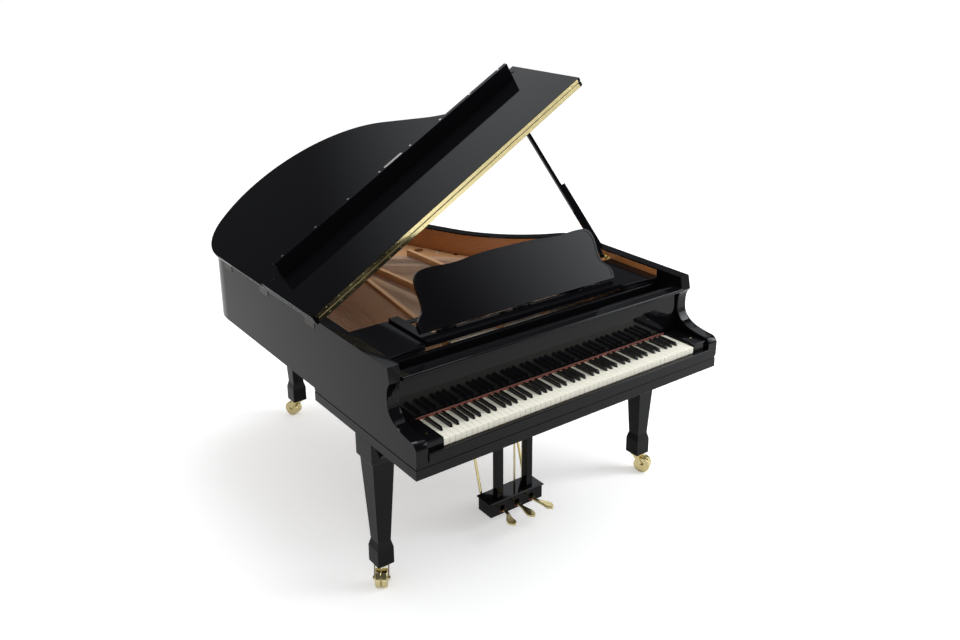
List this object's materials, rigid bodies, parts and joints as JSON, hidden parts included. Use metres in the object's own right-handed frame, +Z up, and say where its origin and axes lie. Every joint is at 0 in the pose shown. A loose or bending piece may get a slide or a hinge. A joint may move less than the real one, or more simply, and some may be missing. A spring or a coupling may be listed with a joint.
{
  "type": "grand piano",
  "caption": "Black grand piano with open folded lid, music desk, keyboard, strung plate, pedal lyre and legs on casters.",
  "frame": {"origin": "middle of the overall box's base, on the floor under the case", "axes": "+X towards the treble side, +Y from the keyboard towards the tail, +Z up"},
  "size_m": [1.5036, 1.905, 1.7998],
  "materials": {
    "black_gloss": "polished black lacquer",
    "veneer": "orange-brown satin veneer",
    "spruce": "satin timber",
    "gold_plate": "bronze-gold paint",
    "brass": "polished brass",
    "steel": "bright steel",
    "copper": "copper winding",
    "felt": "red wool felt",
    "damper": "satin black heads on wires",
    "hammer": "white felt on timber",
    "ivory": "smooth white tops on timber sticks",
    "ebony": "black"
  },
  "bodies": {
    "case": {"outer_rim": "black_gloss", "rim_lining": "veneer", "inner_frame": "spruce", "keybed": "black_gloss", "soundboard": "spruce", "plate": "gold_plate", "tuning_pins": "steel", "plain_strings": "steel", "wound_strings": "copper", "key_slip": "black_gloss", "cheek_blocks": "black_gloss", "felt_strips": "felt", "stretcher": "black_gloss", "desk_shelves": "black_gloss", "rim_hinges": "brass", "case_fittings": "brass", "legs": "black_gloss", "lyre": "black_gloss", "lyre_braces": "brass"},
    "lid": {"main_lid": "black_gloss", "lid_hinges": "brass"},
    "flap": {"front_lid": "black_gloss", "front_rail": "black_gloss", "rail_hardware": "steel", "flap_hinge": "brass"},
    "prop": {"lid_prop": "black_gloss"},
    "short_prop": {"half_prop": "black_gloss"},
    "desk_slide_frame": {"desk_frame": "black_gloss"},
    "desk": {"music_desk": "black_gloss"},
    "stay": {"desk_stay": "black_gloss"},
    "fallboard": {"fallboard": "black_gloss"},
    "action": {"action_frame": "spruce", "hammers": "hammer", "key_frame": "spruce"},
    "dampers": {"damper_set": "damper"},
    "sostenuto": {"sostenuto_rail": "brass"},
    "keys_c": {"keys_c": "ivory"},
    "keys_c_sharp": {"keys_c_sharp": "ebony"},
    "keys_d": {"keys_d": "ivory"},
    "keys_d_sharp": {"keys_d_sharp": "ebony"},
    "keys_e": {"keys_e": "ivory"},
    "keys_f": {"keys_f": "ivory"},
    "keys_f_sharp": {"keys_f_sharp": "ebony"},
    "keys_g": {"keys_g": "ivory"},
    "keys_g_sharp": {"keys_g_sharp": "ebony"},
    "keys_a": {"keys_a": "ivory"},
    "keys_a_sharp": {"keys_a_sharp": "ebony"},
    "keys_b": {"keys_b": "ivory"},
    "fork_left": {"caster_fork_left": "brass"},
    "wheels_left": {"caster_wheels_left": "brass"},
    "fork_right": {"caster_fork_right": "brass"},
    "wheels_right": {"caster_wheels_right": "brass"},
    "fork_back": {"caster_fork_back": "brass"},
    "wheels_back": {"caster_wheels_back": "brass"},
    "pedal_left": {"pedal_left": "brass"},
    "rod_left": {"pedal_rod_left": "brass"},
    "pedal_middle": {"pedal_middle": "brass"},
    "rod_middle": {"pedal_rod_middle": "brass"},
    "pedal_right": {"pedal_right": "brass"},
    "rod_right": {"pedal_rod_right": "brass"}
  },
  "joints": [
    {"name": "lid_hinge", "type": "hinge", "parent": "case", "child": "lid", "pos_m": [-0.72424, 0.15952, 0.9885], "axis": [0, -1, 0], "range_deg": [-30.08, 0]},
    {"name": "flap_hinge", "type": "hinge", "parent": "lid", "child": "flap", "pos_m": [-0.09401, -0.31448, 1.37885], "axis": [0.8653, 0, 0.5012], "range_deg": [0, 180]},
    {"name": "prop_hinge", "type": "hinge", "parent": "case", "child": "prop", "pos_m": [0.68376, -0.33848, 0.962], "axis": [0.7317, -0.4609, -0.5022], "range_deg": [-170.83, 0]},
    {"name": "half_prop_hinge", "type": "hinge", "parent": "prop", "child": "short_prop", "pos_m": [0.68903, -0.32178, 0.99959], "axis": [0.317, 0.8494, -0.4219], "range_deg": [0, 24]},
    {"name": "desk_slide", "type": "slide", "parent": "case", "child": "desk_slide_frame", "axis": [0, 1, 0], "range_m": [0, 0.06]},
    {"name": "desk_tilt", "type": "hinge", "parent": "desk_slide_frame", "child": "desk", "pos_m": [0.01676, -0.59548, 0.97], "axis": [-1, 0, 0], "range_deg": [0, 61]},
    {"name": "stay_hinge", "type": "hinge", "parent": "desk", "child": "stay", "pos_m": [0.01676, -0.51489, 1.09683], "axis": [1, 0, 0], "range_deg": [0, 117.3]},
    {"name": "fallboard_hinge", "type": "hinge", "parent": "case", "child": "fallboard", "pos_m": [0.01676, -0.76648, 0.76], "axis": [1, 0, 0], "range_deg": [0, 90]},
    {"name": "action_shift", "type": "slide", "parent": "case", "child": "action", "axis": [1, 0, 0], "range_m": [0, 0.0025]},
    {"name": "key_c", "type": "hinge", "parent": "action", "child": "keys_c", "pos_m": [0.01676, -0.71048, 0.7227], "axis": [1, 0, 0], "range_deg": [0, 2.6], "stiffness_Nm_per_rad": 6, "springref_deg": -5.73},
    {"name": "key_c_sharp", "type": "hinge", "parent": "action", "child": "keys_c_sharp", "pos_m": [0.01676, -0.71048, 0.7227], "axis": [1, 0, 0], "range_deg": [0, 2.6], "stiffness_Nm_per_rad": 6, "springref_deg": -5.73},
    {"name": "key_d", "type": "hinge", "parent": "action", "child": "keys_d", "pos_m": [0.01676, -0.71048, 0.7227], "axis": [1, 0, 0], "range_deg": [0, 2.6], "stiffness_Nm_per_rad": 6, "springref_deg": -5.73},
    {"name": "key_d_sharp", "type": "hinge", "parent": "action", "child": "keys_d_sharp", "pos_m": [0.01676, -0.71048, 0.7227], "axis": [1, 0, 0], "range_deg": [0, 2.6], "stiffness_Nm_per_rad": 6, "springref_deg": -5.73},
    {"name": "key_e", "type": "hinge", "parent": "action", "child": "keys_e", "pos_m": [0.01676, -0.71048, 0.7227], "axis": [1, 0, 0], "range_deg": [0, 2.6], "stiffness_Nm_per_rad": 6, "springref_deg": -5.73},
    {"name": "key_f", "type": "hinge", "parent": "action", "child": "keys_f", "pos_m": [0.01676, -0.71048, 0.7227], "axis": [1, 0, 0], "range_deg": [0, 2.6], "stiffness_Nm_per_rad": 6, "springref_deg": -5.73},
    {"name": "key_f_sharp", "type": "hinge", "parent": "action", "child": "keys_f_sharp", "pos_m": [0.01676, -0.71048, 0.7227], "axis": [1, 0, 0], "range_deg": [0, 2.6], "stiffness_Nm_per_rad": 6, "springref_deg": -5.73},
    {"name": "key_g", "type": "hinge", "parent": "action", "child": "keys_g", "pos_m": [0.01676, -0.71048, 0.7227], "axis": [1, 0, 0], "range_deg": [0, 2.6], "stiffness_Nm_per_rad": 6, "springref_deg": -5.73},
    {"name": "key_g_sharp", "type": "hinge", "parent": "action", "child": "keys_g_sharp", "pos_m": [0.01676, -0.71048, 0.7227], "axis": [1, 0, 0], "range_deg": [0, 2.6], "stiffness_Nm_per_rad": 6, "springref_deg": -5.73},
    {"name": "key_a", "type": "hinge", "parent": "action", "child": "keys_a", "pos_m": [0.01676, -0.71048, 0.7227], "axis": [1, 0, 0], "range_deg": [0, 2.6], "stiffness_Nm_per_rad": 6, "springref_deg": -5.73},
    {"name": "key_a_sharp", "type": "hinge", "parent": "action", "child": "keys_a_sharp", "pos_m": [0.01676, -0.71048, 0.7227], "axis": [1, 0, 0], "range_deg": [0, 2.6], "stiffness_Nm_per_rad": 6, "springref_deg": -5.73},
    {"name": "key_b", "type": "hinge", "parent": "action", "child": "keys_b", "pos_m": [0.01676, -0.71048, 0.7227], "axis": [1, 0, 0], "range_deg": [0, 2.6], "stiffness_Nm_per_rad": 6, "springref_deg": -5.73},
    {"name": "damper_lift", "type": "slide", "parent": "case", "child": "dampers", "axis": [0, 0, 1], "range_m": [0, 0.008]},
    {"name": "sostenuto_turn", "type": "hinge", "parent": "case", "child": "sostenuto", "pos_m": [0.01676, -0.50048, 0.8], "axis": [1, 0, 0], "range_deg": [0, 15]},
    {"name": "pedal_left_hinge", "type": "hinge", "parent": "case", "child": "pedal_left", "pos_m": [-0.06924, -0.55548, 0.08], "axis": [1, 0, 0], "range_deg": [0, 8.2], "stiffness_Nm_per_rad": 25, "springref_deg": -8.59},
    {"name": "rod_left_slide", "type": "slide", "parent": "case", "child": "rod_left", "axis": [0, 0, 1], "range_m": [0, 0.004]},
    {"name": "pedal_middle_hinge", "type": "hinge", "parent": "case", "child": "pedal_middle", "pos_m": [0.00676, -0.55548, 0.08], "axis": [1, 0, 0], "range_deg": [0, 8.2], "stiffness_Nm_per_rad": 25, "springref_deg": -8.59},
    {"name": "rod_middle_slide", "type": "slide", "parent": "case", "child": "rod_middle", "axis": [0, 0, 1], "range_m": [0, 0.004]},
    {"name": "pedal_right_hinge", "type": "hinge", "parent": "case", "child": "pedal_right", "pos_m": [0.08276, -0.55548, 0.08], "axis": [1, 0, 0], "range_deg": [0, 8.2], "stiffness_Nm_per_rad": 25, "springref_deg": -8.59},
    {"name": "rod_right_slide", "type": "slide", "parent": "case", "child": "rod_right", "axis": [0, 0, 1], "range_m": [0, 0.004]},
    {"name": "caster_swivel_left", "type": "hinge", "parent": "case", "child": "fork_left", "pos_m": [-0.66224, -0.59248, 0.09], "axis": [0, 0, 1], "continuous": true},
    {"name": "caster_roll_left", "type": "hinge", "parent": "fork_left", "child": "wheels_left", "pos_m": [-0.67864, -0.61518, 0.036], "axis": [0.8106, -0.5856, 0], "continuous": true},
    {"name": "caster_swivel_right", "type": "hinge", "parent": "case", "child": "fork_right", "pos_m": [0.69576, -0.59248, 0.09], "axis": [0, 0, 1], "continuous": true},
    {"name": "caster_roll_right", "type": "hinge", "parent": "fork_right", "child": "wheels_right", "pos_m": [0.70955, -0.61686, 0.036], "axis": [0.8704, 0.4923, 0], "continuous": true},
    {"name": "caster_swivel_back", "type": "hinge", "parent": "case", "child": "fork_back", "pos_m": [-0.32224, 0.79252, 0.09], "axis": [0, 0, 1], "continuous": true},
    {"name": "caster_roll_back", "type": "hinge", "parent": "fork_back", "child": "wheels_back", "pos_m": [-0.33395, 0.81795, 0.036], "axis": [-0.9083, -0.4184, 0], "continuous": true}
  ],
  "couplings": [
    {"joint": "prop_hinge", "follows": "lid_hinge", "ratio": 5.6792},
    {"joint": "stay_hinge", "follows": "desk_tilt", "ratio": 1.923},
    {"joint": "action_shift", "follows": "pedal_left_hinge", "m_per_rad": 0.017467},
    {"joint": "damper_lift", "follows": "pedal_right_hinge", "m_per_rad": 0.055897},
    {"joint": "sostenuto_turn", "follows": "pedal_middle_hinge", "ratio": 1.8293},
    {"joint": "rod_left_slide", "follows": "pedal_left_hinge", "m_per_rad": 0.0272},
    {"joint": "rod_middle_slide", "follows": "pedal_middle_hinge", "m_per_rad": 0.0272},
    {"joint": "rod_right_slide", "follows": "pedal_right_hinge", "m_per_rad": 0.0272}
  ]
}
